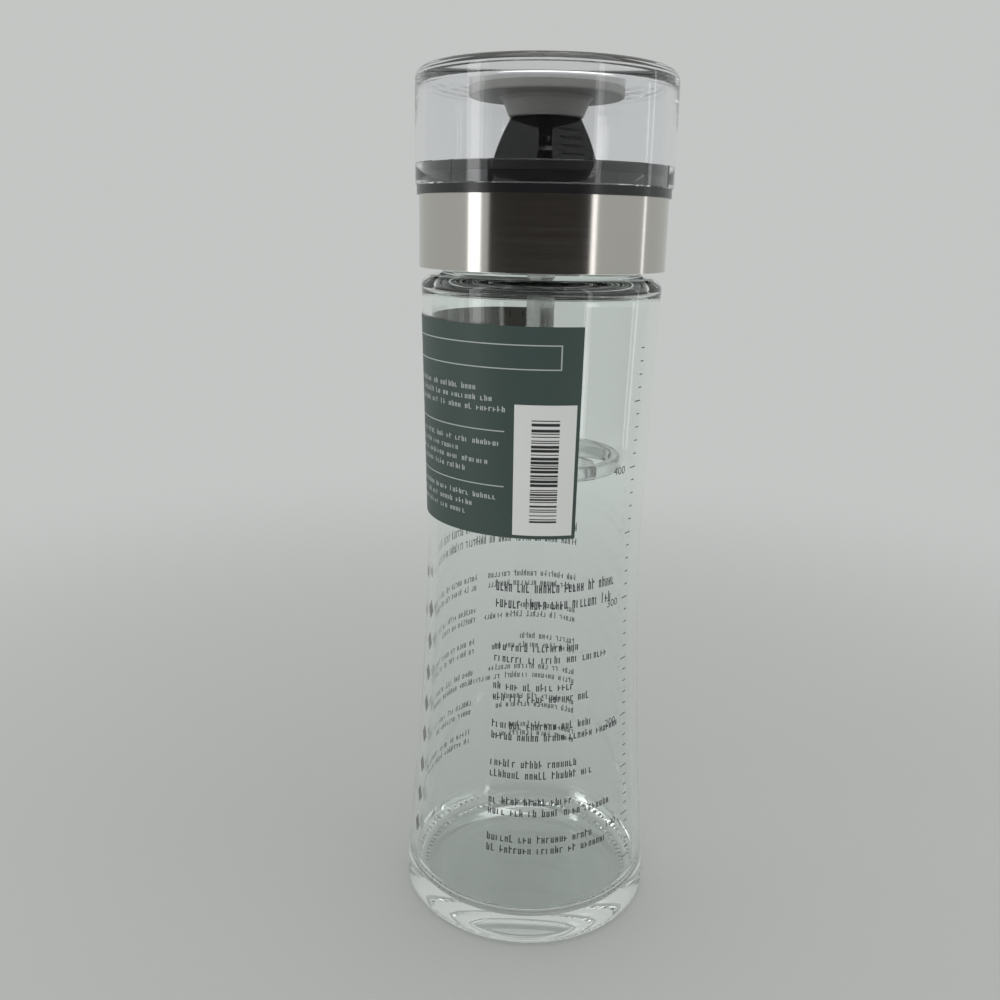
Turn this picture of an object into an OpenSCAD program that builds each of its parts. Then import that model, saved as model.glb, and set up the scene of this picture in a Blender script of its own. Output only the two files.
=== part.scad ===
// Salad dressing shaker bottle: a waisted glass bottle with a screw lid, a pouring spout,
// a mixing wheel that hangs from the lid, and a clear overcap whose seal closes the spout.
// Millimetres, +Z up. The origin is the middle of the circle that the bottle stands on.
// The front of the bottle faces -Y. Angles called az run from the front towards +X.

/* [Glass body] */
// Widest diameter, just above the foot
base_d = 75.8; // [70:0.2:84]
// Diameter at the waist
waist_d = 62.6; // [59:0.2:66]
// Height of the waist above the table
waist_z = 115; // [90:1:135]
// Diameter under the shoulder
shoulder_d = 66.3; // [63:0.1:67]
// Height of the flat shoulder above the table
shoulder_z = 189.5; // [180:0.5:200]
// Radius of the shoulder's outer edge
shoulder_round = 3.2; // [2:0.1:4]
// Thickness of the glass wall
glass_wall = 2.5; // [2:0.1:3]
// Thickness of the glass floor
floor_t = 6; // [4:0.5:9]
// Radius of the outer edge at the foot
heel_round = 2.5; // [1.5:0.1:4]
// Radius of the corner between wall and floor inside
inner_heel_round = 7; // [4:0.5:10]
// Rise of the hollow under the foot
punt_h = 2; // [1:0.1:3]
// Diameter of the hollow under the foot
punt_d = 64; // [56:0.5:66]

/* [Glass neck] */
// Height of the neck above the shoulder
neck_h = 17.9; // [15:0.1:22]
// Bore of the mouth
mouth_d = 50.4; // [50:0.1:51.4]
// Thickness of the neck's wall
neck_wall = 2.3; // [1.8:0.1:2.4]
// Radius of the lip's edges
lip_round = 0.7; // [0.3:0.1:0.9]

/* [Label] */
// Height of the label's lower edge above the table
label_z = 122.6; // [60:0.1:128]
// Height of the label
label_h = 55.8; // [40:0.1:58]
// Thickness of the label
label_t = 0.2; // [0.1:0.05:0.4]
// Stretch of the glass that the label goes round, in degrees
label_turn = 200; // [120:1:300]
// Place of the label's front edge, in degrees from the front
label_edge = 20; // [20:1:60]
// Height of the sticker on the label
sticker_h = 35; // [20:0.5:45]
// Width of the sticker, in degrees round the glass
sticker_turn = 28.6; // [20:0.1:40]
// Distance of the sticker from the label's lower and front edges
sticker_inset = 1; // [0.5:0.1:3]
// Thickness of the sticker
sticker_t = 0.12; // [0.08:0.01:0.2]

/* [Lid] */
// Outer diameter of the steel sleeve
sleeve_d = 67.6; // [67.2:0.1:68.2]
// Thickness of the steel
sleeve_t = 0.5; // [0.4:0.05:0.7]
// Height of the gap between the glass shoulder and the sleeve
sleeve_gap = 1.8; // [1:0.1:3]
// Turned-in hem at the sleeve's lower edge
sleeve_hem = 1.4; // [1:0.1:1.8]
// Diameter of the flange above the sleeve
flange_d = 68.8; // [68.4:0.1:69.2]
// Thickness of the flange
flange_t = 2.2; // [1.6:0.1:3]
// Thickness of the deck that closes the neck
deck_t = 2.2; // [1.8:0.1:3]
// Step from the deck's underside up to the flange's underside
deck_step = 1.2; // [0.6:0.1:1.6]
// Thickness of the outer skirt inside the sleeve
skirt_t = 1.25; // [1:0.05:1.6]
// Thickness of the threaded collar round the neck
collar_t = 1.5; // [1.2:0.1:1.8]
// Room for the screw thread between neck and collar
thread_room = 1.5; // [1.3:0.1:1.6]
// Ribs between collar and skirt
rib_count = 12; // [6:1:24]
// Thickness of each rib
rib_t = 1.2; // [0.8:0.1:2]
// Diameter of the drum that the overcap fits over
drum_d = 66.4; // [65.6:0.1:66.5]
// Height of the drum above the flange, with its seal
drum_h = 5.6; // [4.8:0.1:7]
// Thickness of the drum's wall
drum_wall = 3.4; // [3:0.1:4.5]

/* [Seals] */
// Thickness of the gasket on the mouth
gasket_t = 1.5; // [1:0.1:2.5]
// Height of the seal round the drum's rim
drum_seal_h = 2.4; // [1.6:0.1:3]
// Width of the seal round the drum's rim
drum_seal_w = 2.2; // [1.5:0.1:2.4]

/* [Spout] */
// Height of the spout above the deck
spout_h = 19; // [17:0.5:24]
// Diameter of the spout where it leaves its foot
spout_d = 30; // [28:0.5:34]
// Diameter of the spout's top
spout_top_d = 18.8; // [17:0.2:20]
// Bulge of the spout's side, 1 for a straight cone
spout_bulge = 1.7; // [1:0.1:2.2]
// Width of the foot that sits on the deck
spout_foot_w = 1.4; // [1:0.1:2.5]
// Thickness of the foot
spout_foot_t = 1.6; // [1:0.1:2.5]
// Bore of the pouring hole
spout_bore = 12.8; // [11:0.2:14]
// Diameter of the spigot that goes through the deck
spigot_d = 24; // [22:0.5:26]
// Length of the spigot below the deck's upper face
spigot_l = 8.2; // [6:0.1:10]
// Wall of the spigot
spigot_wall = 1.8; // [1.4:0.1:2.2]
// Distance of each grip flat from the spout's axis at its lower edge
flat_d = 13.1; // [12.4:0.1:13.6]
// Lean of the grip flats from upright
flat_lean = 17; // [12:0.5:20]
// Grip ribs on the right flat
grip_count = 5; // [3:1:6]
// Distance from one grip rib to the next
grip_pitch = 2.1; // [1.6:0.1:2.4]

/* [Mixer] */
// Diameter of the mixer rod
rod_d = 7.8; // [7:0.1:9]
// Diameter of the pins at the rod's two ends
rod_pin_d = 5.9; // [5:0.1:6.2]
// Distance from the deck's upper face down to the wheel's underside
mixer_l = 75.2; // [60:0.1:100]
// Diameter of the mixing wheel
wheel_d = 48.4; // [40:0.2:49]
// Thickness of the mixing wheel
wheel_t = 4; // [3:0.1:6]
// Width of the wheel's rim
wheel_rim = 2.8; // [2:0.1:4]
// Diameter of the wheel's hub
wheel_hub_d = 12.4; // [11:0.1:14]
// Length of the wheel's hub
wheel_hub_l = 8; // [6:0.5:12]
// Curved blades between hub and rim
blade_count = 6; // [4:1:8]
// Thickness of each blade
blade_t = 1.8; // [1.2:0.1:2.4]

/* [Overcap] */
// Outer diameter of the overcap
overcap_d = 69.6; // [69.4:0.1:70.4]
// Height of the overcap
overcap_h = 29.5; // [28:0.1:36]
// Thickness of its wall above the drum
overcap_wall = 2.9; // [2.6:0.1:3.4]
// Thickness of its top
overcap_top_t = 4.2; // [3:0.1:5]
// Radius of its upper edge
overcap_round = 3; // [1.5:0.1:3.6]
// Thickness of the grip pads inside its skirt
pad_t = 0.22; // [0.1:0.02:0.24]
// Number of grip pads
pad_count = 4; // [3:1:6]
// Width of each grip pad, in degrees
pad_turn = 70; // [40:1:75]
// Diameter of the seal's disc under the top
seal_disc_d = 41.4; // [36:0.2:46]
// Thickness of the seal's disc
seal_disc_t = 2.3; // [1.5:0.1:3]
// Diameter of the stem where it meets the disc
stem_d = 23; // [21:0.2:26]
// Diameter of the stem's foot on the spout
stem_foot_d = 20; // [18:0.2:20.6]
// Depth of the plug that dips into the pouring hole
plug_l = 2; // [1:0.1:3]
// Diameter of the boss that holds the seal
boss_d = 8; // [6:0.2:9]
// Length of the boss
boss_l = 5; // [3:0.1:6]

/* [Clearances] */
// Between pieces that are pressed or clipped together
press_gap = 0.05; // [0.03:0.01:0.08]
// Round the rod's pin, which turns in its socket, and under the grip pads
run_gap = 0.08; // [0.05:0.01:0.1]
// Where one piece rests on another
seat_gap = 0.1; // [0.05:0.01:0.15]
// Round the drum inside the overcap's skirt
slide_gap = 0.3; // [0.28:0.01:0.35]
// Round the plug in the pouring hole
plug_gap = 0.4; // [0.2:0.05:0.6]
// Between the bottle's glass and the label, for the glue
glue_gap = 0.03; // [0.02:0.01:0.05]

/* [Hidden] */
$fn = 96;
tiny = 0.01;
body_steps = 40;    // straight stretches that follow the glass body's curve
label_steps = 12;   // and the same along the label and the sticker

// Heights, from the table up
mouth_z = shoulder_z + neck_h;
gasket_z = mouth_z + seat_gap;
deck_z = gasket_z + gasket_t;
deck_top = deck_z + deck_t;
flange_z = deck_z + deck_step;
flange_top = flange_z + flange_t;
sleeve_z = shoulder_z + sleeve_gap;
drum_top = flange_top + drum_h;
spout_top = deck_top + spout_h;
spigot_z = deck_top - spigot_l;
overcap_z = flange_top + seat_gap;
ledge_z = drum_top + seat_gap;
overcap_top = overcap_z + overcap_h;
disc_top = overcap_top - overcap_top_t;
stem_z = spout_top + seat_gap;
wheel_z = deck_top - mixer_l;
hub_z = wheel_z - (wheel_hub_l - wheel_t) / 2;
socket_l = spigot_l - 0.2;
socket_z = spigot_z - 2;   // the socket stands out 2 mm below the spigot
collar_z = sleeve_z + 2;   // the collar ends above the sleeve's lower edge

// Radii
neck_r = mouth_d / 2 + neck_wall;
collar_r = neck_r + thread_room;
skirt_r = sleeve_d / 2 - sleeve_t - press_gap;
drum_r = drum_d / 2;
drum_in_r = drum_r - drum_wall;
spigot_r = spigot_d / 2;
spigot_in_r = spigot_r - spigot_wall;
spout_r = spout_d / 2;
bore_r = spout_bore / 2;
pin_r = rod_pin_d / 2;
clip_r = pin_r + 0.35;   // widest part of the clip at each end of the rod
socket_r = pin_r + run_gap;
socket_wall = 2.2;
skirt_in_r = drum_r + slide_gap;
pad_first = -22.6;   // az of the first pad's left edge

// The gasket stands out past the lip on both sides and sits in a groove in the deck
gasket_in = 0.2;
gasket_out = 0.6;
groove_h = 0.3;
groove_room = 0.25;

// Outer radius of the glass body at height z: straight above the heel, then two flares
lower_flare = 1.58;
upper_flare = 1.17;
foot_band = 2.5;
foot_z = heel_round + foot_band;
top_z = shoulder_z - shoulder_round;
function below(z) = (waist_z - z) / (waist_z - foot_z);
function above(z) = (z - waist_z) / (top_z - waist_z);
function body_r(z) =
    z <= foot_z ? base_d / 2
    : z < waist_z ? waist_d / 2 + (base_d - waist_d) / 2 * pow(below(z), lower_flare)
    : waist_d / 2 + (shoulder_d - waist_d) / 2 * pow(min(above(z), 1), upper_flare);

// Points at even heights from z0 to z1, offset outwards from the glass body
function body_points(z0, z1, out, n) =
    [for (i = [0:n]) let (z = z0 + (z1 - z0) * i / n) [body_r(z) + out, z]];
// Points on a quarter round: centre, radius, first and last angle
function arc(c, r, a0, a1, n = 8) =
    [for (i = [0:n]) let (a = a0 + (a1 - a0) * i / n) c + r * [cos(a), sin(a)]];
function reversed(list) = [for (i = [len(list) - 1:-1:0]) list[i]];

// A ring turned round Z between two radii and two heights
module ring(r_in, r_out, z0, z1) {
    translate([0, 0, z0])
        difference() {
            cylinder(r = r_out, h = z1 - z0);
            translate([0, 0, -1])
                cylinder(r = r_in, h = z1 - z0 + 2);
        }
}

// Turns a profile round Z from az a0 over the given stretch
module turned(a0, stretch) {
    rotate([0, 0, a0 - 90])
        rotate_extrude(angle = stretch)
            children();
}

// The bottle: foot with a hollow, waisted body, flat shoulder and neck
module glass_bottle() {
    heel_r = base_d / 2 - heel_round;
    in_heel_r = body_r(floor_t + inner_heel_round) - glass_wall - inner_heel_round;
    neck_root_z = shoulder_z - glass_wall;
    fillet = 1;       // at the neck's root, inside and outside
    in_round = 3;     // inside the shoulder
    in_top_z = neck_root_z - in_round;
    in_top_r = body_r(in_top_z) - glass_wall;
    punt_r = (pow(punt_d / 2, 2) + pow(punt_h, 2)) / (2 * punt_h);
    punt_half = asin(punt_d / 2 / punt_r);
    outer = concat(
        arc([0, punt_h - punt_r], punt_r, 90, 90 - punt_half),
        arc([heel_r, heel_round], heel_round, -90, 0),
        body_points(foot_z, top_z, 0, body_steps),
        arc([shoulder_d / 2 - shoulder_round, top_z], shoulder_round, 0, 90),
        arc([neck_r + fillet, shoulder_z + fillet], fillet, -90, -180, 4),
        arc([neck_r - lip_round, mouth_z - lip_round], lip_round, 0, 90, 4));
    inner = concat(
        arc([mouth_d / 2 + lip_round, mouth_z - lip_round], lip_round, 90, 180, 4),
        arc([mouth_d / 2 + fillet, neck_root_z + fillet], fillet, 180, 270, 4),
        arc([in_top_r - in_round, in_top_z], in_round, 90, 0),
        reversed(body_points(floor_t + inner_heel_round, in_top_z - 1, -glass_wall, body_steps)),
        arc([in_heel_r, floor_t + inner_heel_round], inner_heel_round, 0, -90),
        [[0, floor_t]]);
    color([0.80, 0.86, 0.83, 0.45])
        rotate_extrude()
            polygon(concat(outer, inner));
}

// The paper label, a strip that follows the glass
module paper_label() {
    color([0.22, 0.28, 0.26])
        turned(label_edge - label_turn, label_turn)
            polygon(concat(
                body_points(label_z, label_z + label_h, glue_gap, label_steps),
                reversed(body_points(label_z, label_z + label_h, glue_gap + label_t, label_steps))));
}

// The white sticker at the label's front corner
module sticker() {
    inner = glue_gap * 2 + label_t;
    z0 = label_z + sticker_inset;
    edge_turn = sticker_inset / (PI * waist_d) * 360;
    color([0.93, 0.93, 0.91])
        turned(label_edge - edge_turn - sticker_turn, sticker_turn)
            polygon(concat(
                body_points(z0, z0 + sticker_h, inner, label_steps),
                reversed(body_points(z0, z0 + sticker_h, inner + sticker_t, label_steps))));
}

// The lid's moulding: skirt, threaded collar, ribs, deck, flange and drum
module lid_body() {
    hem_room = sleeve_t + press_gap;
    rim_z = drum_top - drum_seal_h;
    seal_proud = 0.4;   // the rubber stands above the plastic rim
    color([0.07, 0.07, 0.08]) {
        difference() {
            union() {
                ring(skirt_r - skirt_t, skirt_r, sleeve_z + hem_room, flange_z + tiny);
                ring(collar_r, collar_r + collar_t, collar_z, deck_z + tiny);
                ring(spigot_r + press_gap, skirt_r, deck_z, deck_top);
                ring(drum_in_r, flange_d / 2, flange_z, flange_top);
                ring(drum_in_r, drum_r, flange_top - tiny, rim_z);
                ring(drum_in_r, drum_r - drum_seal_w - press_gap, rim_z - tiny, drum_top - seal_proud);
                skirt_ribs();
            }
            gasket_groove();
        }
    }
}

// Radial ribs that tie the collar to the skirt, sunk a little into both
module skirt_ribs() {
    root = 0.3;
    rib_z = collar_z + 2.5;
    rib_l = skirt_r - skirt_t - collar_r - collar_t;
    for (i = [0:rib_count - 1])
        rotate([0, 0, (i + 0.5) * 360 / rib_count])
            translate([collar_r + collar_t - root, -rib_t / 2, rib_z])
                cube([rib_l + 2 * root, rib_t, deck_z - rib_z + tiny]);
}

// A shallow groove in the deck's underside that keeps the gasket in place
module gasket_groove() {
    ring(mouth_d / 2 - gasket_in - groove_room, neck_r + gasket_out + groove_room,
         deck_z - tiny, deck_z + groove_h);
}

// The brushed steel sleeve with its turned-in hem
module steel_sleeve() {
    r = sleeve_d / 2;
    color([0.62, 0.60, 0.57]) {
        ring(r - sleeve_t, r, sleeve_z, flange_z);
        ring(r - sleeve_hem, r - sleeve_t + tiny, sleeve_z, sleeve_z + sleeve_t);
    }
}

// The gasket that the lid presses on the mouth
module neck_gasket() {
    color([0.82, 0.82, 0.80])
        ring(mouth_d / 2 - gasket_in, neck_r + gasket_out, gasket_z, deck_z + groove_h - press_gap);
}

// The rubber seal round the drum's rim, with a rounded outer edge
module drum_seal() {
    r_in = drum_r - drum_seal_w;
    z0 = drum_top - drum_seal_h + press_gap;
    edge = 0.5;
    color([0.05, 0.05, 0.055])
        rotate_extrude()
            polygon(concat(
                [[r_in, z0], [drum_r, z0]],
                arc([drum_r - edge, drum_top - edge], edge, 0, 90, 4),
                [[r_in, drum_top]]));
}

// Radius of the spout's side at height z, from just above its foot to its top
spout_low = deck_top + spout_foot_t + 0.4;
spout_edge = 0.8;
function spout_side(z) =
    let (t = (z - spout_low) / (spout_top - spout_low))
    spout_r - (spout_r - spout_top_d / 2) * pow(max(t, 0), spout_bulge);

// The spout: foot, bulging cone with two grip flats, pouring hole, spigot and rod socket
module pour_spout() {
    throat_z = spout_top - 3;              // the pouring hole is straight down to here
    cone_z = deck_top + spout_h * 0.42;    // and widens to the spigot's bore down to here
    flat_az = 42;
    snap_z = deck_z - press_gap;           // a snap ridge holds the spigot under the deck
    snap_w = 0.45;
    snap_lead = 0.6;
    lead = 0.6;
    mouth_lead = 0.4;
    steps = 14;
    side_top = spout_top - spout_edge;
    side = [for (i = [0:steps]) let (z = spout_low + (side_top - spout_low) * i / steps)
            [spout_side(z), z]];
    profile = concat(
        [[spigot_in_r, spigot_z], [spigot_r - lead, spigot_z], [spigot_r, spigot_z + lead]],
        [[spigot_r, snap_z - 1.5 * snap_lead], [spigot_r + snap_w, snap_z - snap_lead / 2]],
        [[spigot_r + snap_w, snap_z], [spigot_r, snap_z], [spigot_r, deck_top]],
        [[spout_r + spout_foot_w, deck_top], [spout_r + spout_foot_w, deck_top + spout_foot_t]],
        side,
        arc([spout_side(side_top) - spout_edge, side_top], spout_edge, 0, 90, 5),
        [[bore_r + mouth_lead, spout_top], [bore_r, spout_top - mouth_lead]],
        [[bore_r, throat_z], [spigot_in_r, cone_z]]);
    color([0.06, 0.06, 0.07]) {
        difference() {
            rotate_extrude()
                polygon(profile);
            grip_flat(-flat_az);
            grip_flat(flat_az);
        }
        grip_ribs(flat_az);
        rod_socket();
    }
}

// The tilted plane of a grip flat, as a frame whose +X points out of the flat
module on_flat(az) {
    rotate([0, 0, az - 90])
        translate([flat_d, 0, spout_low + 1.5])
            rotate([0, -flat_lean, 0])
                children();
}

module grip_flat(az) {
    on_flat(az)
        translate([0, -spout_r, -0.2])
            cube([spout_r, spout_d, spout_h * 2]);
}

// Fine ribs across a grip flat, rounded like half rods sunk into it
module grip_ribs(az) {
    rib_r = 0.35;
    rib_w = 7.2;
    sunk = 0.12;
    middle = 8.6;   // height of the middle rib up the flat
    on_flat(az)
        for (i = [0:grip_count - 1])
            translate([-sunk, -rib_w / 2, middle + (i - (grip_count - 1) / 2) * grip_pitch])
                rotate([-90, 0, 0])
                    cylinder(r = rib_r, h = rib_w, $fn = 24);
}

// The socket for the rod's pin, carried on three arms across the spigot
module rod_socket() {
    arm_t = 1.6;
    arm_h = socket_l - 3;
    root = 0.3;
    out_r = socket_r + socket_wall;
    ring(socket_r, out_r, socket_z, socket_z + socket_l);
    for (i = [0:2])
        rotate([0, 0, 30 + i * 120])
            translate([out_r - root, -arm_t / 2, spigot_z])
                cube([spigot_in_r - out_r + 2 * root, arm_t, arm_h]);
}

// The rod: a translucent bar with a clip pin at each end
module mixer_rod() {
    low_shoulder = hub_z + wheel_hub_l + press_gap;
    high_shoulder = socket_z - seat_gap;
    low_clip = hub_z - press_gap;
    high_clip = socket_z + socket_l + seat_gap;
    clip_h = 1.2;
    clip_band = 0.5;
    clip_end_r = pin_r - 0.5;
    edge = 0.4;
    color([0.62, 0.62, 0.60, 0.7])
        rotate_extrude()
            polygon([
                [0, low_clip - clip_h], [clip_end_r, low_clip - clip_h], [clip_r, low_clip - clip_band],
                [clip_r, low_clip], [pin_r, low_clip],
                [pin_r, low_shoulder], [rod_d / 2 - edge, low_shoulder],
                [rod_d / 2, low_shoulder + edge], [rod_d / 2, high_shoulder - edge],
                [rod_d / 2 - edge, high_shoulder], [pin_r, high_shoulder], [pin_r, high_clip],
                [clip_r, high_clip], [clip_r, high_clip + clip_band],
                [clip_end_r, high_clip + clip_h], [0, high_clip + clip_h]]);
}

// The mixing wheel: hub, rim and curved blades
module mixer_wheel() {
    rim_r = wheel_d / 2;
    hub_r = wheel_hub_d / 2;
    round = 0.8;
    rim_in = rim_r - wheel_rim;
    color([0.80, 0.82, 0.81, 0.5]) {
        rotate_extrude()
            polygon(concat(
                arc([rim_r - round, wheel_z + round], round, -90, 0, 4),
                arc([rim_r - round, wheel_z + wheel_t - round], round, 0, 90, 4),
                arc([rim_in + round, wheel_z + wheel_t - round], round, 90, 180, 4),
                arc([rim_in + round, wheel_z + round], round, 180, 270, 4)));
        ring(pin_r + press_gap, hub_r, hub_z, hub_z + wheel_hub_l);
        for (i = [0:blade_count - 1])
            rotate([0, 0, i * 360 / blade_count])
                blade(hub_r, rim_in);
    }
}

// One blade, half a ring that leaves the hub and curves out to the rim, sunk a little into both
module blade(hub_r, rim_in) {
    root = 0.5;
    inset = 0.5;   // the blades are thinner than the rim by this much above and below
    reach = (rim_in - hub_r) / 2 + root;
    middle = (rim_in + hub_r) / 2;
    translate([0, 0, wheel_z + inset])
        linear_extrude(wheel_t - 2 * inset)
            difference() {
                translate([middle, 0])
                    circle(r = reach + blade_t / 2);
                translate([middle, 0])
                    circle(r = reach - blade_t / 2);
                translate([0, -wheel_d])
                    square(wheel_d);
            }
}

// The clear overcap: thick wall, thin skirt round the drum, ledge, pads and a boss inside
module overcap() {
    r = overcap_d / 2;
    in_r = r - overcap_wall;
    in_round = 1.2;
    edge = 0.3;
    pad_root = 0.3;     // the pads are sunk into the skirt and the ledge
    pad_lead = 0.4;     // their lower edges lead the drum in
    pad_z = overcap_z + 0.2;
    pad_top = ledge_z + 0.2;
    color([0.85, 0.86, 0.88, 0.35]) {
        rotate_extrude()
            polygon(concat(
                [[skirt_in_r, overcap_z], [r - edge, overcap_z], [r, overcap_z + edge]],
                arc([r - overcap_round, overcap_top - overcap_round], overcap_round, 0, 90),
                [[0, overcap_top], [0, disc_top - boss_l], [boss_d / 2, disc_top - boss_l]],
                [[boss_d / 2, disc_top]],
                arc([in_r - in_round, disc_top - in_round], in_round, 90, 0, 5),
                [[in_r, ledge_z], [skirt_in_r, ledge_z]]));
        for (i = [0:pad_count - 1])
            turned(pad_first + i * 360 / pad_count, pad_turn)
                polygon([
                    [skirt_in_r - pad_t, pad_z + pad_lead], [skirt_in_r + pad_root, pad_z],
                    [skirt_in_r + pad_root, pad_top], [skirt_in_r - pad_t, pad_top]]);
    }
}

// The grey seal: a disc under the top, a stem that sits on the spout, and a plug
module overcap_seal() {
    plug_r = bore_r - plug_gap;
    hole_r = boss_d / 2 + press_gap;
    disc_z = disc_top - seal_disc_t;
    plug_z = stem_z - plug_l;
    edge = 0.6;
    foot_edge = 0.3;
    flare = 1;      // where the stem widens into the disc
    color([0.51, 0.51, 0.49])
        rotate_extrude()
            polygon(concat(
                [[0, plug_z], [plug_r - edge, plug_z], [plug_r, plug_z + edge], [plug_r, stem_z]],
                [[stem_foot_d / 2 - foot_edge, stem_z], [stem_foot_d / 2, stem_z + foot_edge]],
                [[stem_d / 2, disc_z - flare], [stem_d / 2 + flare, disc_z]],
                arc([seal_disc_d / 2 - edge, disc_z + edge], edge, -90, 0, 4),
                [[seal_disc_d / 2, disc_top], [hole_r, disc_top]],
                [[hole_r, disc_top - boss_l - press_gap], [0, disc_top - boss_l - press_gap]]));
}

glass_bottle();
paper_label();
sticker();
lid_body();
steel_sleeve();
neck_gasket();
drum_seal();
pour_spout();
mixer_rod();
mixer_wheel();
overcap();
overcap_seal();
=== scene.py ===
import math
import random

import bpy
from mathutils import Matrix, Vector


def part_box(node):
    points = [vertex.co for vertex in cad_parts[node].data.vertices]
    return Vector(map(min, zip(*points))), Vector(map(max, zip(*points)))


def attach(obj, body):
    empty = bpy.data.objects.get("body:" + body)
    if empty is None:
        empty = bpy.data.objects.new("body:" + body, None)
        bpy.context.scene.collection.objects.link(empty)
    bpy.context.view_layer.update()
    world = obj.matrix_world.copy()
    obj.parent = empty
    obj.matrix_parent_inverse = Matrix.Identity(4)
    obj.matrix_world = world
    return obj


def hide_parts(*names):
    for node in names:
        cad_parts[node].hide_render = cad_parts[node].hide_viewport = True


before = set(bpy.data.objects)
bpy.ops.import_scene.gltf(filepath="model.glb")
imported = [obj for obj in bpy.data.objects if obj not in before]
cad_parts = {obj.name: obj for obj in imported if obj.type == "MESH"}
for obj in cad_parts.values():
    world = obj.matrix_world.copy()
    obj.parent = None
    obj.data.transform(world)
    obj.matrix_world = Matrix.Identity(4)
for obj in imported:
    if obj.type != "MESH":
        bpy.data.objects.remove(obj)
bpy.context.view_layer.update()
mm = 0.001
near = 0.01   # mm; points this close to a wall's radius or to the table count as on it
print("frame loaded")


def arc(cr, cz, radius, start, end, steps):
    # points on a round of an outline, angles in degrees
    angles = [math.radians(start + (end - start) * k / steps) for k in range(steps + 1)]
    return [(cr + radius * math.cos(a), cz + radius * math.sin(a)) for a in angles]


def lathe(name, outline, segments, nudge=None):
    # turns an outline in mm round Z; nudge may move a ring's points
    verts, faces, rings = [], [], []
    for r, z in outline:
        if r < 1e-6:
            rings.append([len(verts)])
            verts.append((0, 0, z * mm))
            continue
        ring = []
        for k in range(segments):
            a = 2 * math.pi * k / segments
            rr, zz = nudge(a, r, z) if nudge else (r, z)
            ring.append(len(verts))
            verts.append((rr * math.cos(a) * mm, rr * math.sin(a) * mm, zz * mm))
        rings.append(ring)
    for low, high in zip(rings, rings[1:]):
        for k in range(segments):
            n = (k + 1) % segments
            if len(low) == 1:
                faces.append((low[0], high[n], high[k]))
            elif len(high) == 1:
                faces.append((low[k], low[n], high[0]))
            else:
                faces.append((low[k], low[n], high[n], high[k]))
    return meshObject(name, verts, faces)


def meshObject(name, verts, faces, sharp=35):
    mesh = bpy.data.meshes.new(name)
    mesh.from_pydata(verts, [], faces)
    mesh.validate()
    for face in mesh.polygons:
        face.use_smooth = True
    mesh.set_sharp_from_angle(angle=math.radians(sharp))
    obj = bpy.data.objects.new(name, mesh)
    bpy.context.scene.collection.objects.link(obj)
    return obj


def onSurface(az, z, lift, radiusAt):
    # a point above a turned surface; az runs from the front towards +X
    r = (radiusAt(z) + lift) * mm
    a = math.radians(az)
    return (r * math.sin(a), -r * math.cos(a), z * mm)


def patches(name, tiles, lift, radiusAt, turnStep=2.5, heightStep=4):
    # thin printed shapes that follow the surface: tiles are (az0, az1, z0, z1)
    verts, faces = [], []
    for az0, az1, z0, z1 in tiles:
        across = max(1, math.ceil((az1 - az0) / turnStep))
        upward = max(1, math.ceil((z1 - z0) / heightStep))
        first = len(verts)
        for j in range(upward + 1):
            for k in range(across + 1):
                az = az0 + (az1 - az0) * k / across
                verts.append(onSurface(az, z0 + (z1 - z0) * j / upward, lift, radiusAt))
        for j in range(upward):
            for k in range(across):
                a = first + j * (across + 1) + k
                faces.append((a, a + 1, a + across + 2, a + across + 1))
    return meshObject(name, verts, faces)


# shared effects, placed in the materials with their own values
def newGroup(name, inputs, outputs):
    tree = bpy.data.node_groups.new(name, "ShaderNodeTree")
    for label, kind, value in inputs:
        socket = tree.interface.new_socket(label, in_out="INPUT", socket_type=kind)
        socket.default_value = value
    for label, kind in outputs:
        tree.interface.new_socket(label, in_out="OUTPUT", socket_type=kind)
    return tree, tree.nodes.new("NodeGroupInput"), tree.nodes.new("NodeGroupOutput")


def giveUnevenness(tree, given, result, noise):
    # the noise's middle as a roughness between Low and High, and the noise itself as a height for bump
    spread = tree.nodes.new("ShaderNodeMapRange")
    spread.inputs["From Min"].default_value = 0.3
    spread.inputs["From Max"].default_value = 0.7
    tree.links.new(noise.outputs["Fac"], spread.inputs["Value"])
    tree.links.new(given.outputs["Low"], spread.inputs["To Min"])
    tree.links.new(given.outputs["High"], spread.inputs["To Max"])
    tree.links.new(spread.outputs["Result"], result.inputs["Roughness"])
    tree.links.new(noise.outputs["Fac"], result.inputs["Height"])


def buildGrain():
    # fine unevenness, the same in every direction
    tree, given, result = newGroup(
        "surfaceGrain",
        [("Scale", "NodeSocketFloat", 300.0), ("Low", "NodeSocketFloat", 0.2),
         ("High", "NodeSocketFloat", 0.3)],
        [("Roughness", "NodeSocketFloat"), ("Height", "NodeSocketFloat")])
    place = tree.nodes.new("ShaderNodeTexCoord")
    noise = tree.nodes.new("ShaderNodeTexNoise")
    noise.inputs["Detail"].default_value = 4
    tree.links.new(place.outputs["Object"], noise.inputs["Vector"])
    tree.links.new(given.outputs["Scale"], noise.inputs["Scale"])
    giveUnevenness(tree, given, result, noise)
    return tree


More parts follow.
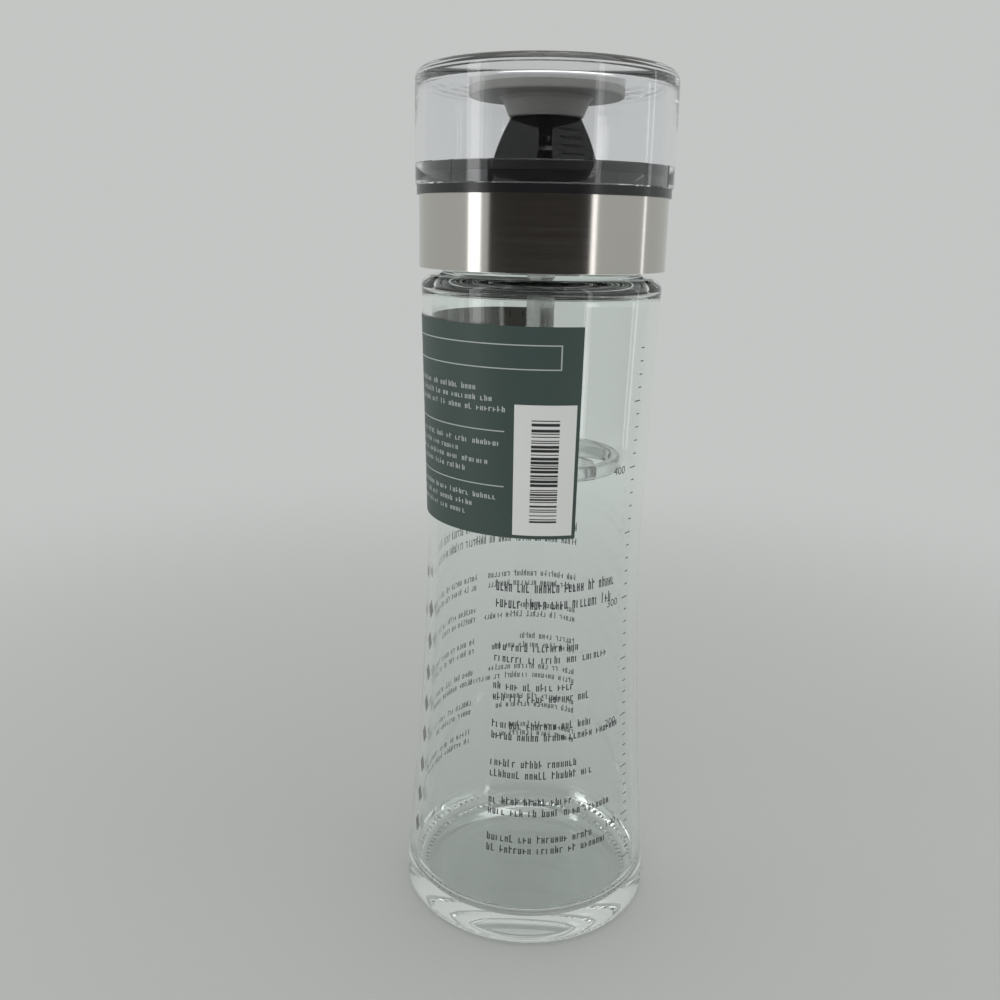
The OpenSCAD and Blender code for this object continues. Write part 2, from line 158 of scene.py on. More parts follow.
def buildTint():
    # a colour that drifts between two near ones
    tree, given, result = newGroup(
        "tintDrift",
        [("Colour", "NodeSocketColor", (0.5, 0.5, 0.5, 1)), ("Other", "NodeSocketColor", (0.4, 0.4, 0.4, 1)),
         ("Scale", "NodeSocketFloat", 60.0)],
        [("Colour", "NodeSocketColor")])
    place = tree.nodes.new("ShaderNodeTexCoord")
    noise = tree.nodes.new("ShaderNodeTexNoise")
    mix = tree.nodes.new("ShaderNodeMix")
    mix.data_type = "RGBA"   # its colour sockets are 6 and 7 going in, 2 coming out
    tree.links.new(place.outputs["Object"], noise.inputs["Vector"])
    tree.links.new(given.outputs["Scale"], noise.inputs["Scale"])
    tree.links.new(noise.outputs["Fac"], mix.inputs["Factor"])
    tree.links.new(given.outputs["Colour"], mix.inputs[6])
    tree.links.new(given.outputs["Other"], mix.inputs[7])
    tree.links.new(mix.outputs[2], result.inputs["Colour"])
    return tree


def buildBrush():
    # marks that run round Z: noise stretched along the turn
    tree, given, result = newGroup(
        "brushMarks",
        [("Fineness", "NodeSocketFloat", 9000.0), ("Low", "NodeSocketFloat", 0.2),
         ("High", "NodeSocketFloat", 0.4)],
        [("Roughness", "NodeSocketFloat"), ("Height", "NodeSocketFloat")])
    place = tree.nodes.new("ShaderNodeTexCoord")
    split = tree.nodes.new("ShaderNodeSeparateXYZ")
    join = tree.nodes.new("ShaderNodeCombineXYZ")
    turn = tree.nodes.new("ShaderNodeMath")
    turn.operation = "ARCTAN2"
    tall = tree.nodes.new("ShaderNodeMath")
    tall.operation = "MULTIPLY"
    noise = tree.nodes.new("ShaderNodeTexNoise")
    noise.inputs["Scale"].default_value = 1.0
    noise.inputs["Detail"].default_value = 3
    tree.links.new(place.outputs["Object"], split.inputs["Vector"])
    tree.links.new(split.outputs["Y"], turn.inputs[0])
    tree.links.new(split.outputs["X"], turn.inputs[1])
    tree.links.new(split.outputs["Z"], tall.inputs[0])
    tree.links.new(given.outputs["Fineness"], tall.inputs[1])
    tree.links.new(turn.outputs["Value"], join.inputs["X"])
    tree.links.new(tall.outputs["Value"], join.inputs["Y"])
    tree.links.new(join.outputs["Vector"], noise.inputs["Vector"])
    giveUnevenness(tree, given, result, noise)
    return tree


grainGroup = buildGrain()
tintGroup = buildTint()
brushGroup = buildBrush()


def finish(name, look):
    # one material from its settings: colours, grain, bump and plain shader values
    mat = bpy.data.materials.new(name)
    mat.use_nodes = True
    nodes = mat.node_tree.nodes
    links = mat.node_tree.links
    shader = nodes["Principled BSDF"]
    for socket, value in look["shader"].items():
        shader.inputs[socket].default_value = value
    if "other" in look:
        tint = nodes.new("ShaderNodeGroup")
        tint.node_tree = tintGroup
        tint.inputs["Colour"].default_value = look["colour"]
        tint.inputs["Other"].default_value = look["other"]
        tint.inputs["Scale"].default_value = look["tintScale"]
        links.new(tint.outputs["Colour"], shader.inputs["Base Color"])
    else:
        shader.inputs["Base Color"].default_value = look["colour"]
    grain = nodes.new("ShaderNodeGroup")
    if "fineness" in look:   # brushed, with the marks running round Z
        grain.node_tree = brushGroup
        grain.inputs["Fineness"].default_value = look["fineness"]
        alongTurn = nodes.new("ShaderNodeTangent")
        alongTurn.direction_type = "RADIAL"
        alongTurn.axis = "Z"
        links.new(alongTurn.outputs["Tangent"], shader.inputs["Tangent"])
    else:
        grain.node_tree = grainGroup
        grain.inputs["Scale"].default_value = look["grainScale"]
    grain.inputs["Low"].default_value = look["rough"][0]
    grain.inputs["High"].default_value = look["rough"][1]
    links.new(grain.outputs["Roughness"], shader.inputs["Roughness"])
    bump = nodes.new("ShaderNodeBump")
    bump.inputs["Strength"].default_value = look["bump"]
    bump.inputs["Distance"].default_value = look.get("depth", 0.05) * mm
    links.new(grain.outputs["Height"], bump.inputs["Height"])
    links.new(bump.outputs["Normal"], shader.inputs["Normal"])
    return mat


def dress(obj, mat):
    obj.data.materials.clear()
    obj.data.materials.append(mat)
    return obj


print("helpers ready")

# the glass body: foot, two flares and a flat shoulder, in mm
bottle = {
    "baseR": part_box("glass_bottle")[1].x / mm, "waistR": 31.3, "waistZ": 115, "footZ": 5.0, "topZ": 186.3,
    "shoulderR": 33.15, "shoulderZ": 189.5, "shoulderRound": 3.2, "lowerFlare": 1.58, "upperFlare": 1.17,
    "wall": 2.5, "floor": 6.0, "heel": 2.5, "innerHeel": 7.0, "puntR": 32.0, "puntH": 2.0,
    "neckR": 27.5, "boreR": 25.2, "mouthZ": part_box("glass_bottle")[1].z / mm, "lip": 0.7,
    "threadZ": 194.5, "threadPitch": 5.0, "threadTurns": 1.6, "threadH": 1.0, "threadHalf": 1.15,
    "threadEnd": 0.06, "neckFillet": 1.0, "innerShoulder": 3.0,
    "dashes": 96, "dashDepth": 0.35, "dashIn": 0.8, "dashOut": 0.2, "footRings": 8, "footPitch": 0.4,
    "segments": 384, "heightSteps": 90, "neckSteps": 44,
    "look": {"colour": (0.955, 0.985, 0.972, 1), "grainScale": 45.0, "rough": (0.0, 0.012), "bump": 0.05,
             "depth": 0.3, "shader": {"Transmission Weight": 1.0, "IOR": 1.5}},
}


def bodyR(z):
    # the outside's radius at a height: straight foot, then a flare below and above the waist
    b = bottle
    if z <= b["footZ"]:
        return b["baseR"]
    if z < b["waistZ"]:
        t = (b["waistZ"] - z) / (b["waistZ"] - b["footZ"])
        return b["waistR"] + (b["baseR"] - b["waistR"]) * t ** b["lowerFlare"]
    t = min((z - b["waistZ"]) / (b["topZ"] - b["waistZ"]), 1)
    return b["waistR"] + (b["shoulderR"] - b["waistR"]) * t ** b["upperFlare"]


def bottleNudge(a, r, z):
    b = bottle
    if z < near and b["puntR"] + b["dashIn"] < r < b["baseR"] - b["heel"] - b["dashOut"]:
        # stippled ring under the foot
        return r, z + (b["dashDepth"] if (a * b["dashes"] / (2 * math.pi)) % 1 < 0.5 else 0)
    if abs(r - b["neckR"]) < near:
        # right-hand thread on the neck, thinned out at its two ends
        for whole in (0, 1):
            turn = a / (2 * math.pi) + whole
            if turn <= b["threadTurns"]:
                away = abs(z - b["threadZ"] - turn * b["threadPitch"]) / b["threadHalf"]
                ends = min(1, turn / b["threadEnd"], (b["threadTurns"] - turn) / b["threadEnd"])
                if away < 1:
                    return r + b["threadH"] * ends * min(1, (1 - away) * 2), z
    return r, z


def heightsBetween(start, end, steps):
    # evenly spaced heights for the rings of a long wall, both ends with them
    return [start + (end - start) * k / steps for k in range(steps + 1)]


def makeBottle():
    # one closed outline: under the foot, up the outside, over the mouth and down the inside
    b = bottle
    fillet, crown = b["neckFillet"], b["innerShoulder"]
    low = b["floor"] + b["innerHeel"]
    capR = (b["puntR"] ** 2 + b["puntH"] ** 2) / (2 * b["puntH"])
    capHalf = math.degrees(math.asin(b["puntR"] / capR))
    rootZ = b["shoulderZ"] - b["wall"]
    neckTop = b["mouthZ"] - b["lip"]
    outline = arc(0, b["puntH"] - capR, capR, 90, 90 - capHalf, 12)
    outline[0] = (0, b["puntH"])
    outline += [(b["puntR"] + b["footPitch"] * k, 0) for k in range(1, b["footRings"] + 1)]
    outline += arc(b["baseR"] - b["heel"], b["heel"], b["heel"], -90, 0, 10)
    outline += [(bodyR(z), z) for z in heightsBetween(b["footZ"], b["topZ"], b["heightSteps"])]
    outline += arc(b["shoulderR"] - b["shoulderRound"], b["topZ"], b["shoulderRound"], 0, 90, 10)[1:]
    outline += arc(b["neckR"] + fillet, b["shoulderZ"] + fillet, fillet, -90, -180, 5)
    neckHeights = heightsBetween(b["shoulderZ"] + fillet, neckTop, b["neckSteps"])
    outline += [(b["neckR"], z) for z in neckHeights[1:-1]]
    outline += arc(b["neckR"] - b["lip"], neckTop, b["lip"], 0, 90, 5)
    outline += arc(b["boreR"] + b["lip"], neckTop, b["lip"], 90, 180, 5)
    outline += arc(b["boreR"] + fillet, rootZ + fillet, fillet, 180, 270, 5)
    outline += arc(bodyR(rootZ - crown) - b["wall"] - crown, rootZ - crown, crown, 90, 0, 8)
    outline += [(bodyR(z) - b["wall"], z) for z in heightsBetween(rootZ - crown - 1, low, b["heightSteps"])]
    outline += arc(bodyR(low) - b["wall"] - b["innerHeel"], low, b["innerHeel"], 0, -90, 12)[1:]
    outline += [(0, b["floor"])]
    obj = lathe("clear_glass_bottle", outline, b["segments"], bottleNudge)
    obj.visible_shadow = False   # clear pieces let the lamps through
    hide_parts("glass_bottle")
    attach(dress(obj, finish("clearGlass", b["look"])), "bottle")


makeBottle()
print("glass done")

# print on the glass: a volume scale with plain numbers, and rows of marks that aren't words
prints = {
    "black": {"colour": (0.018, 0.019, 0.02, 1), "other": (0.10, 0.105, 0.11, 1), "tintScale": 500.0,
              "grainScale": 900.0, "rough": (0.35, 0.5), "bump": 0.1, "shader": {"Specular IOR Level": 0.3}},
    "grey": {"colour": (0.10, 0.105, 0.11, 1), "other": (0.018, 0.019, 0.02, 1), "tintScale": 90.0,
             "grainScale": 900.0, "rough": (0.4, 0.5), "bump": 0.1, "shader": {"Specular IOR Level": 0.3}},
    "lift": 0.04, "seed": 7, "columns": (-18, -142, 152),
    "headZ": (107.3, 102.6), "headSpan": (58, 62), "headH": 2.3, "pairs": 6, "pairZ": 90.3, "pairPitch": 11.5,
    "pairGap": 3.4, "rowH": 1.7, "spans": (38, 52, 32, 49, 52, 66, 40, 50, 30, 48, 45, 50), "spanShift": 5,
    "stemTurn": 0.6, "markTurn": 1.52, "gapTurn": 0.63, "spaceTurn": 2.08, "marks": (2, 7), "tall": 1.35,
    "shortShare": 0.7, "barShare": 0.75, "closedShare": 0.5, "barLevels": (0.0, 0.4, 0.8), "barH": 0.2,
    "scaleAz": 58.0, "minorTurn": 2.6, "majorTurn": 5.0, "lineH": 0.3, "topZ": 174.0,
    "stepMl": 10, "firstMl": 50, "longMl": 50, "numberMl": 100,
    "numberSize": 3.0, "numberTurn": 12, "numberDrop": 1,
    "ornamentAz": -67.0, "ornamentZ": (24, 34, 44, 54, 64, 74, 84, 94), "ornamentH": 5.4, "ornamentTurn": 3.2,
    "ornamentSteps": 4, "ornamentThin": 14,
}


def markRow(tiles, rng, az0, az1, z, height):
    # word-like groups of stems and short bars, nothing that can be read
    p = prints
    az = az0
    while az < az1:
        for k in range(rng.randint(*p["marks"])):
            right = az + p["markTurn"]
            stemH = height if rng.random() < p["shortShare"] else height * p["tall"]
            tiles.append((az, az + p["stemTurn"], z, z + stemH))
            if rng.random() < p["barShare"]:
                level = z + height * rng.choice(p["barLevels"])
                tiles.append((az, right, level, level + height * p["barH"]))
            if rng.random() < p["closedShare"]:
                tiles.append((right - p["stemTurn"], right, z, z + height))
            az = right + p["gapTurn"]
        az += p["spaceTurn"]


def fillHeights(step, top):
    # heights at which the bottle holds whole steps of ml, from the inside's radius
    b = bottle
    low = b["floor"] + b["innerHeel"]
    found, held, z, layer = [], 0.0, b["floor"], 0.05
    while z < top:
        r = bodyR(z) - b["wall"]
        if z < low:
            r = bodyR(low) - b["wall"] - b["innerHeel"] + math.sqrt(b["innerHeel"] ** 2 - (low - z) ** 2)
        held += math.pi * r * r * layer / 1000   # mm³ to ml
        z += layer
        if held >= step * (len(found) + 1):
            found.append(z)
    return found


def numberTiles(text, size, az, z):
    # outlines of plain digits, bent round the glass
    curve = bpy.data.curves.new("digits", "FONT")
    curve.body = text
    curve.size = size
    holder = bpy.data.objects.new("digits", curve)
    bpy.context.scene.collection.objects.link(holder)
    flat = bpy.data.meshes.new_from_object(holder.evaluated_get(bpy.context.evaluated_depsgraph_get()))
    verts = []
    for v in flat.vertices:
        turn = math.degrees(v.co.x / bodyR(z))
        verts.append(onSurface(az + turn, z + v.co.y, prints["lift"], bodyR))
    faces = [tuple(face.vertices) for face in flat.polygons]
    bpy.data.objects.remove(holder)
    return verts, faces


def makeRows(ink):
    p = prints
    rng = random.Random(p["seed"])
    tiles = []
    for column, az in enumerate(p["columns"]):
        for z, span in zip(p["headZ"], p["headSpan"]):
            markRow(tiles, rng, az, az + span, z, p["headH"])
        for k in range(p["pairs"]):
            for low in (0, 1):
                span = p["spans"][(2 * k + low + p["spanShift"] * column) % len(p["spans"])]
                z = p["pairZ"] - k * p["pairPitch"] - low * p["pairGap"]
                markRow(tiles, rng, az, az + span, z, p["rowH"])
    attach(dress(patches("printed_rows", tiles, p["lift"], bodyR), ink), "bottle")


def makeScale(ink):
    p = prints
    ticks, verts, faces = [], [], []
    numberAz = p["scaleAz"] - p["majorTurn"] - p["numberTurn"]
    for k, z in enumerate(fillHeights(p["stepMl"], p["topZ"])):
        held = (k + 1) * p["stepMl"]
        if held < p["firstMl"]:
            continue
        turn = p["majorTurn"] if held % p["longMl"] == 0 else p["minorTurn"]
        ticks.append((p["scaleAz"] - turn, p["scaleAz"], z, z + p["lineH"]))
        if held % p["numberMl"] == 0:
            more, shapes = numberTiles(str(held), p["numberSize"], numberAz, z - p["numberDrop"])
            faces += [tuple(i + len(verts) for i in shape) for shape in shapes]
            verts += more
    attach(dress(patches("scale_ticks", ticks, p["lift"], bodyR), ink), "bottle")
    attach(dress(meshObject("scale_numbers", verts, faces), ink), "bottle")


def makeOrnament(ink):
    # a plain column of stepped diamonds, each of short bars above and below its widest one
    p = prints
    steps = p["ornamentSteps"]
    bars = []
    for middle in p["ornamentZ"]:
        for k in range(-steps, steps + 1):
            half = (1 - abs(k) / (steps + 1)) * p["ornamentTurn"]
            z = middle + k * p["ornamentH"] / (2 * steps + 1)
            top = z + p["ornamentH"] / p["ornamentThin"]
            bars.append((p["ornamentAz"] - half, p["ornamentAz"] + half, z, top))
    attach(dress(patches("side_ornament", bars, p["lift"], bodyR), ink), "bottle")


def makePrints():
    black = finish("blackInk", prints["black"])
    makeRows(black)
    makeScale(black)
    makeOrnament(finish("greyInk", prints["grey"]))


makePrints()
print("prints done")

# the label, its paper back, pale rules on it, and the sticker with plain bars
label = {
    "front": {"colour": (0.050, 0.082, 0.073, 1), "other": (0.043, 0.070, 0.063, 1), "tintScale": 40.0,
              "grainScale": 1500.0, "rough": (0.42, 0.55), "bump": 0.15,
              "shader": {"Specular IOR Level": 0.45}},
    "back": {"colour": (0.19, 0.175, 0.155, 1), "other": (0.16, 0.148, 0.133, 1), "tintScale": 120.0,
             "grainScale": 2500.0, "rough": (0.7, 0.85), "bump": 0.2, "shader": {"Specular IOR Level": 0.3}},
    "white": {"colour": (0.78, 0.79, 0.77, 1), "other": (0.72, 0.73, 0.71, 1), "tintScale": 60.0,
              "grainScale": 1800.0, "rough": (0.4, 0.5), "bump": 0.1, "shader": {"Specular IOR Level": 0.45}},
    "pale": {"colour": (0.50, 0.54, 0.52, 1), "other": (0.42, 0.46, 0.44, 1), "tintScale": 300.0,
             "grainScale": 1500.0, "rough": (0.5, 0.6), "bump": 0.1, "shader": {"Specular IOR Level": 0.3}},
    "dark": {"colour": (0.02, 0.02, 0.022, 1), "other": (0.03, 0.03, 0.032, 1), "tintScale": 40.0,
             "grainScale": 1500.0, "rough": (0.42, 0.55), "bump": 0.15,
             "shader": {"Specular IOR Level": 0.45}},
    "az": (-180, 20), "z": (122.6, 178.4), "backLift": 0.015, "lift": 0.27, "stickerLift": 0.42, "seed": 11,
    "line": 0.3, "side": 0.6, "frameAz": (-104, 10.4), "frameZ": (167.5, 173.6),
    "rules": (151.2, 136.4), "ruleAz": (-104, -15), "rowH": 1.1, "shorter": (4, 34),
    "smallRows": (161.6, 159.0, 156.4, 147.4, 144.8, 142.2, 139.6, 132.8, 130.2, 127.6),
    "barAz": (-2.4, 10.4), "barZ": (127.2, 155.0),
    "barH": (0.25, 0.25, 0.5, 0.75), "barGap": (0.3, 0.3, 0.55, 0.8),
}


def makeLabel():
    s = label
    rng = random.Random(s["seed"])
    dress(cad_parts["paper_label"], finish("labelPaper", s["front"]))
    dress(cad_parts["sticker"], finish("stickerPaper", s["white"]))
    back = patches("label_back", [(*s["az"], *s["z"])], s["backLift"], bodyR)
    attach(dress(back, finish("labelBack", s["back"])), "bottle")
    az0, az1 = s["frameAz"]
    z0, z1 = s["frameZ"]
    lines = [(az0, az1, z0, z0 + s["line"]), (az0, az1, z1, z1 + s["line"])]
    lines += [(az1 - s["side"], az1, z0, z1), (az0, az0 + s["side"], z0, z1)]
    lines += [(*s["ruleAz"], z, z + s["line"]) for z in s["rules"]]
    for z in s["smallRows"]:
        markRow(lines, rng, s["ruleAz"][0], s["ruleAz"][1] - rng.uniform(*s["shorter"]), z, s["rowH"])
    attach(dress(patches("label_lines", lines, s["lift"], bodyR), finish("paleInk", s["pale"])), "bottle")
    bars = []
    z = s["barZ"][0]
    while z < s["barZ"][1]:
        thick = rng.choice(s["barH"])
        bars.append((*s["barAz"], z, z + thick))
        z += thick + rng.choice(s["barGap"])
    dark = finish("barInk", s["dark"])
    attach(dress(patches("sticker_bars", bars, s["stickerLift"], bodyR), dark), "bottle")


makeLabel()
print("label done")

# the clear overcap: thick wall, thin skirt with grip pads, ledge and boss
overcap = {
    "outR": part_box("overcap")[1].x / mm, "inR": 31.9, "skirtR": 33.5, "boss": 4.0, "bossZ": 232.8,
    "lowZ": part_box("overcap")[0].z / mm, "topZ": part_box("overcap")[1].z / mm,
    "ledgeZ": 218.1, "ceilingZ": 237.8,
    "round": 3.0, "innerRound": 1.2, "edge": 0.3, "pads": 4, "padAz": -22.6, "padTurn": 70, "padT": 0.22,
    "padLow": 0.2, "padFrom": 0.6, "padTo": 0.2, "ringStep": 9, "outerRings": (10, 20), "flatTop": 0.6,
    "segments": 360,
    "look": {"colour": (0.955, 0.955, 0.975, 1), "grainScale": 60.0, "rough": (0.0, 0.02), "bump": 0.03,
             "depth": 0.2, "shader": {"Transmission Weight": 1.0, "IOR": 1.49}},
}


def overcapNudge(a, r, z):
    # grip pads stand inwards from the skirt, between its edge and the ledge
    c = overcap
    if abs(r - c["skirtR"]) < near and c["lowZ"] + c["edge"] < z < c["ledgeZ"]:
        az = (math.degrees(a) + 90 - c["padAz"]) % (360 / c["pads"])
        if az < c["padTurn"]:
            return r - c["padT"], z
    return r, z


def makeOvercap():
    # one closed outline: the boss under the top, down the inside, up the outside
    c = overcap
    edge, skirtR, outR, lowZ, ledgeZ = c["edge"], c["skirtR"], c["outR"], c["lowZ"], c["ledgeZ"]
    outline = [(0, c["bossZ"]), (c["boss"] - edge, c["bossZ"]), (c["boss"], c["bossZ"] + edge)]
    outline += [(c["boss"], c["ceilingZ"])]
    outline += arc(c["inR"] - c["innerRound"], c["ceilingZ"] - c["innerRound"], c["innerRound"], 90, 0, 8)
    outline += [(c["inR"], ledgeZ + c["ringStep"]), (c["inR"], ledgeZ), (skirtR, ledgeZ)]
    outline += [(skirtR, ledgeZ - c["padTo"]), (skirtR, lowZ + c["padFrom"]), (skirtR, lowZ + c["padLow"])]
    outline += [(skirtR, lowZ), (outR - edge, lowZ), (outR, lowZ + edge)]
    outline += [(outR, lowZ + z) for z in c["outerRings"]]
    outline += arc(outR - c["round"], c["topZ"] - c["round"], c["round"], 0, 90, 14)
    outline += [(outR * c["flatTop"], c["topZ"]), (0, c["topZ"])]
    obj = lathe("clear_overcap", outline, c["segments"], overcapNudge)
    obj.visible_shadow = False
    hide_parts("overcap")
    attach(dress(obj, finish("clearPlastic", c["look"])), "overcap")


makeOvercap()
print("overcap done")

# finishes of the pieces that keep their solid
looks = {
    "lid_body": ("black_plastic", {
        "colour": (0.012, 0.012, 0.014, 1), "other": (0.018, 0.018, 0.020, 1), "tintScale": 80.0,
        "grainScale": 900.0, "rough": (0.18, 0.26), "bump": 0.04, "shader": {"Specular IOR Level": 0.5}}),
    "steel_sleeve": ("steel", {
        "colour": (0.60, 0.575, 0.54, 1), "other": (0.55, 0.53, 0.50, 1), "tintScale": 30.0,
        "fineness": 9000.0, "rough": (0.13, 0.20), "bump": 0.12, "depth": 0.02,
        "shader": {"Metallic": 1.0, "Anisotropic": 0.8, "Anisotropic Rotation": 0.25}}),
    "neck_gasket": ("gasket_silicone", {
        "colour": (0.60, 0.60, 0.58, 1), "other": (0.54, 0.54, 0.52, 1), "tintScale": 90.0,
        "grainScale": 1200.0, "rough": (0.45, 0.6), "bump": 0.15, "shader": {"Specular IOR Level": 0.4}}),
    "drum_seal": ("black_rubber", {
        "colour": (0.010, 0.010, 0.011, 1), "other": (0.016, 0.016, 0.017, 1), "tintScale": 90.0,
        "grainScale": 1600.0, "rough": (0.45, 0.6), "bump": 0.25, "shader": {"Specular IOR Level": 0.4}}),
    "pour_spout": ("spout_plastic", {
        "colour": (0.004, 0.004, 0.005, 1), "other": (0.007, 0.007, 0.008, 1), "tintScale": 90.0,
        "grainScale": 220.0, "rough": (0.05, 0.10), "bump": 0.06, "shader": {"Specular IOR Level": 0.5}}),
    "mixer_rod": ("rod_plastic", {
        "colour": (0.74, 0.745, 0.74, 1), "other": (0.66, 0.665, 0.66, 1), "tintScale": 160.0,
        "grainScale": 260.0, "rough": (0.18, 0.3), "bump": 0.2,
        "shader": {"Transmission Weight": 0.75, "IOR": 1.46}}),
    "mixer_wheel": ("wheel_plastic", {
        "colour": (0.90, 0.92, 0.915, 1), "other": (0.84, 0.86, 0.855, 1), "tintScale": 120.0,
        "grainScale": 200.0, "rough": (0.05, 0.14), "bump": 0.1,
        "shader": {"Transmission Weight": 0.9, "IOR": 1.46}}),
    "overcap_seal": ("grey_silicone", {
        "colour": (0.33, 0.33, 0.31, 1), "other": (0.29, 0.29, 0.272, 1), "tintScale": 70.0,
        "grainScale": 1100.0, "rough": (0.4, 0.52), "bump": 0.15, "shader": {"Specular IOR Level": 0.45}}),
}
for nodeName, (slotName, look) in looks.items():
    dress(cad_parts[nodeName], finish(nodeName + "Finish", look))
    if "Transmission Weight" in look["shader"]:
        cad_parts[nodeName].visible_shadow = False
print("finishes done")

# pale floor that runs out into the background, soft lamps, and a dark card, all in m;
# the card stands behind the camera and shows in gloss and glass only
studio = {
    "paper": (0.545, 0.562, 0.548, 1), "floor": (0.50, 0.515, 0.50, 1), "floorRough": 0.8, "floorZ": -0.00005,
    "floorRings": (0.02, 0.05, 0.1, 0.2, 0.3, 0.4, 0.5, 0.6, 1.0, 2.0, 4.0), "floorSegments": 96,
    "fade": (0.10, 0.55),
    "worldLight": 0.62,
    "strips": (
        {"name": "leftStrip", "az": -62, "width": 0.13, "glow": 2.0},
        {"name": "rightStrip", "az": 45, "width": 0.05, "glow": 2.0},
        {"name": "sideStrip", "az": 101, "width": 0.025, "glow": 1.6},
    ),
    "stripAway": 0.60, "stripZ": 0.28, "stripH": 0.80,
    "topPlace": (0.1, -0.1, 1.0), "topTarget": (0, 0, 0.1), "topSize": 0.8, "topWatts": 2.4,
    "card": {"y": -0.72, "width": 1.62, "low": -0.4, "high": 1.1, "colour": (0.020, 0.017, 0.015, 1)},
}


def emission(mat, colour):
    nodes = mat.node_tree.nodes
    glow = nodes.new("ShaderNodeEmission")
    glow.inputs["Color"].default_value = colour
    return glow


def makeFloor():
    s = studio
    rings = [(r / mm, s["floorZ"] / mm) for r in (0, *s["floorRings"])]
    floor = lathe("studio_floor", rings, s["floorSegments"])
    floor.data.flip_normals()
    mat = bpy.data.materials.new("paleFloor")
    mat.use_nodes = True
    nodes = mat.node_tree.nodes
    links = mat.node_tree.links
    shader = nodes["Principled BSDF"]
    shader.inputs["Base Color"].default_value = s["floor"]
    shader.inputs["Roughness"].default_value = s["floorRough"]
    place = nodes.new("ShaderNodeTexCoord")
    length = nodes.new("ShaderNodeVectorMath")
    length.operation = "LENGTH"
    fade = nodes.new("ShaderNodeMapRange")
    fade.interpolation_type = "SMOOTHSTEP"
    fade.inputs["From Min"].default_value = s["fade"][0]
    fade.inputs["From Max"].default_value = s["fade"][1]
    blend = nodes.new("ShaderNodeMixShader")
    glow = emission(mat, s["paper"])
    links.new(place.outputs["Object"], length.inputs[0])
    links.new(length.outputs["Value"], fade.inputs["Value"])
    links.new(fade.outputs["Result"], blend.inputs["Fac"])
    links.new(shader.outputs["BSDF"], blend.inputs[1])
    links.new(glow.outputs["Emission"], blend.inputs[2])
    links.new(blend.outputs["Shader"], nodes["Material Output"].inputs["Surface"])
    floor.data.materials.append(mat)


def makeCard():
    c = studio["card"]
    half = c["width"] / 2
    corners = [(-half, c["y"], c["low"]), (half, c["y"], c["low"]), (half, c["y"], c["high"]),
               (-half, c["y"], c["high"])]
    card = meshObject("dark_card", corners, [(3, 2, 1, 0)])
    mat = bpy.data.materials.new("darkCard")
    mat.use_nodes = True
    glow = emission(mat, c["colour"])
    end = mat.node_tree.nodes["Material Output"]
    mat.node_tree.links.new(glow.outputs["Emission"], end.inputs["Surface"])
    card.data.materials.append(mat)
    card.visible_camera = False
    card.visible_diffuse = False
    card.visible_shadow = False


def makeWorld():
    # seen directly, in gloss or through glass it has the paper's colour; else it gives plain light
    s = studio
    world = bpy.data.worlds.new("paleRoom")
    bpy.context.scene.world = world
    world.use_nodes = True
    nodes = world.node_tree.nodes
    links = world.node_tree.links
    path = nodes.new("ShaderNodeLightPath")
    seen = nodes.new("ShaderNodeMath")
    seen.operation = "MAXIMUM"
    shown = nodes.new("ShaderNodeMath")
    shown.operation = "MAXIMUM"
    room = nodes.new("ShaderNodeBackground")
    room.inputs["Color"].default_value = (1, 1, 1, 1)
    room.inputs["Strength"].default_value = s["worldLight"]
    paper = nodes["Background"]
    paper.inputs["Color"].default_value = s["paper"]
    paper.inputs["Strength"].default_value = 1.0
    blend = nodes.new("ShaderNodeMixShader")
    links.new(path.outputs["Is Camera Ray"], seen.inputs[0])
    links.new(path.outputs["Is Glossy Ray"], seen.inputs[1])
    links.new(seen.outputs["Value"], shown.inputs[0])
    links.new(path.outputs["Is Transmission Ray"], shown.inputs[1])
    links.new(shown.outputs["Value"], blend.inputs["Fac"])
    links.new(room.outputs["Background"], blend.inputs[1])
    links.new(paper.outputs["Background"], blend.inputs[2])
    links.new(blend.outputs["Shader"], nodes["World Output"].inputs["Surface"])


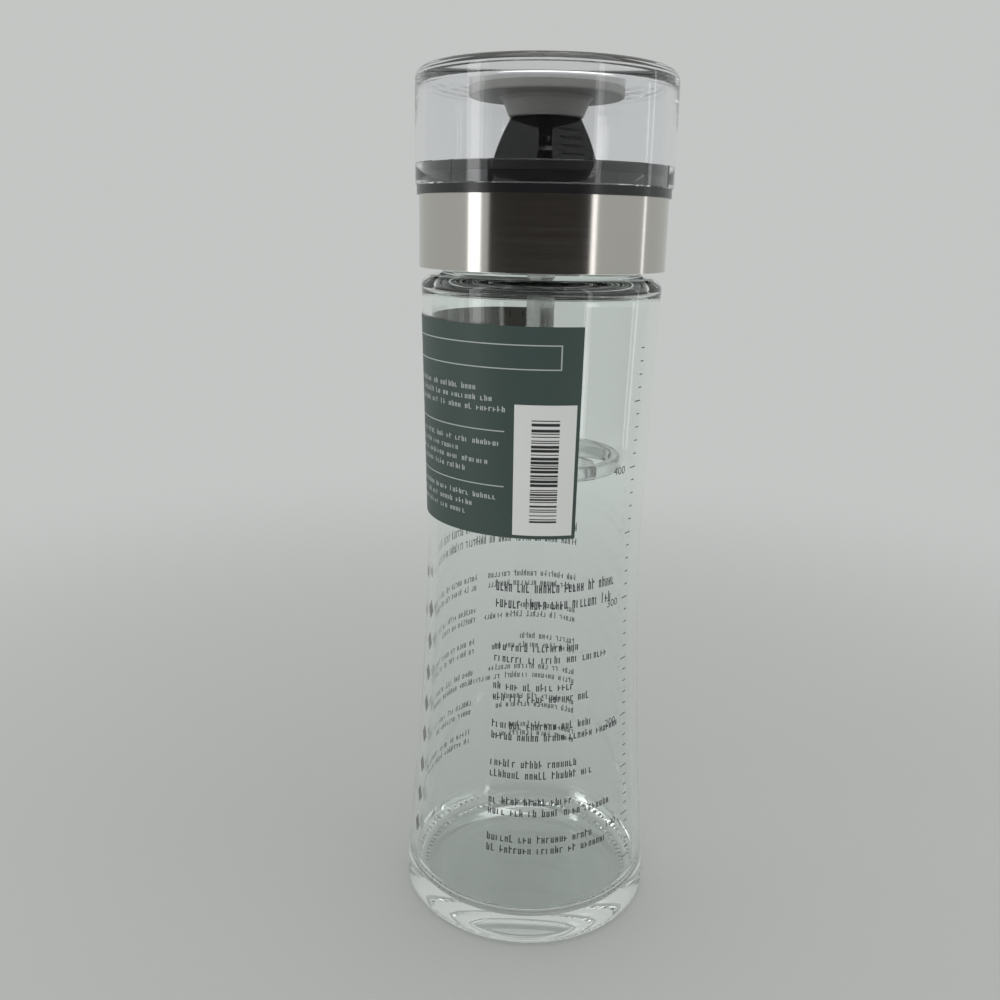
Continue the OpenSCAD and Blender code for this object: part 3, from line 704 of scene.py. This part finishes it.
def areaLamp(name, place, target, width, height, watts):
    lamp = bpy.data.lights.new(name, "AREA")
    lamp.shape = "RECTANGLE"
    lamp.size = width
    lamp.size_y = height
    lamp.energy = watts
    obj = bpy.data.objects.new(name, lamp)
    obj.location = place
    obj.rotation_euler = (Vector(target) - Vector(place)).to_track_quat("-Z", "Y").to_euler()
    obj.visible_camera = False
    bpy.context.scene.collection.objects.link(obj)


def makeLamps():
    s = studio
    away, z, height = s["stripAway"], s["stripZ"], s["stripH"]
    for strip in s["strips"]:
        a = math.radians(strip["az"])
        watts = strip["glow"] * math.pi * strip["width"] * height
        place = (away * math.sin(a), -away * math.cos(a), z)
        areaLamp(strip["name"], place, (0, 0, z), strip["width"], height, watts)
    areaLamp("topSoftbox", s["topPlace"], s["topTarget"], s["topSize"], s["topSize"], s["topWatts"])


makeFloor()
makeCard()
makeWorld()
makeLamps()
print("studio done")

# the camera, from the fit of the bottle's outline and circles in the photograph; place in mm, clip in m
view = {
    "place": (0, -283.087, 202.728), "pitch": 15.4631, "yaw": -2.0776, "roll": 1.1146,
    "sensor": 36, "lens": 35.824, "clip": (0.01, 20), "bounces": 24, "glossyBounces": 16,
}


def makeCamera():
    pitch = math.radians(view["pitch"])
    yaw = math.radians(view["yaw"])
    roll = math.radians(view["roll"])
    ahead = Vector((math.sin(yaw) * math.cos(pitch), math.cos(yaw) * math.cos(pitch), -math.sin(pitch)))
    right = Vector((math.cos(yaw), -math.sin(yaw), 0))
    up = right.cross(ahead)
    side = math.cos(roll) * right + math.sin(roll) * up
    top = -math.sin(roll) * right + math.cos(roll) * up
    data = bpy.data.cameras.new("photoCamera")
    data.sensor_width = view["sensor"]
    data.lens = view["lens"]
    data.clip_start, data.clip_end = view["clip"]
    camera = bpy.data.objects.new("photoCamera", data)
    camera.matrix_world = Matrix((
        (side.x, top.x, -ahead.x, view["place"][0] * mm),
        (side.y, top.y, -ahead.y, view["place"][1] * mm),
        (side.z, top.z, -ahead.z, view["place"][2] * mm),
        (0, 0, 0, 1)))
    bpy.context.scene.collection.objects.link(camera)
    bpy.context.scene.camera = camera


makeCamera()
bpy.context.scene.view_settings.view_transform = "Standard"
bpy.context.scene.cycles.max_bounces = view["bounces"]   # light turns many times inside thick clear walls
bpy.context.scene.cycles.glossy_bounces = view["glossyBounces"]
bpy.context.scene.cycles.transmission_bounces = view["bounces"]
print("camera done")
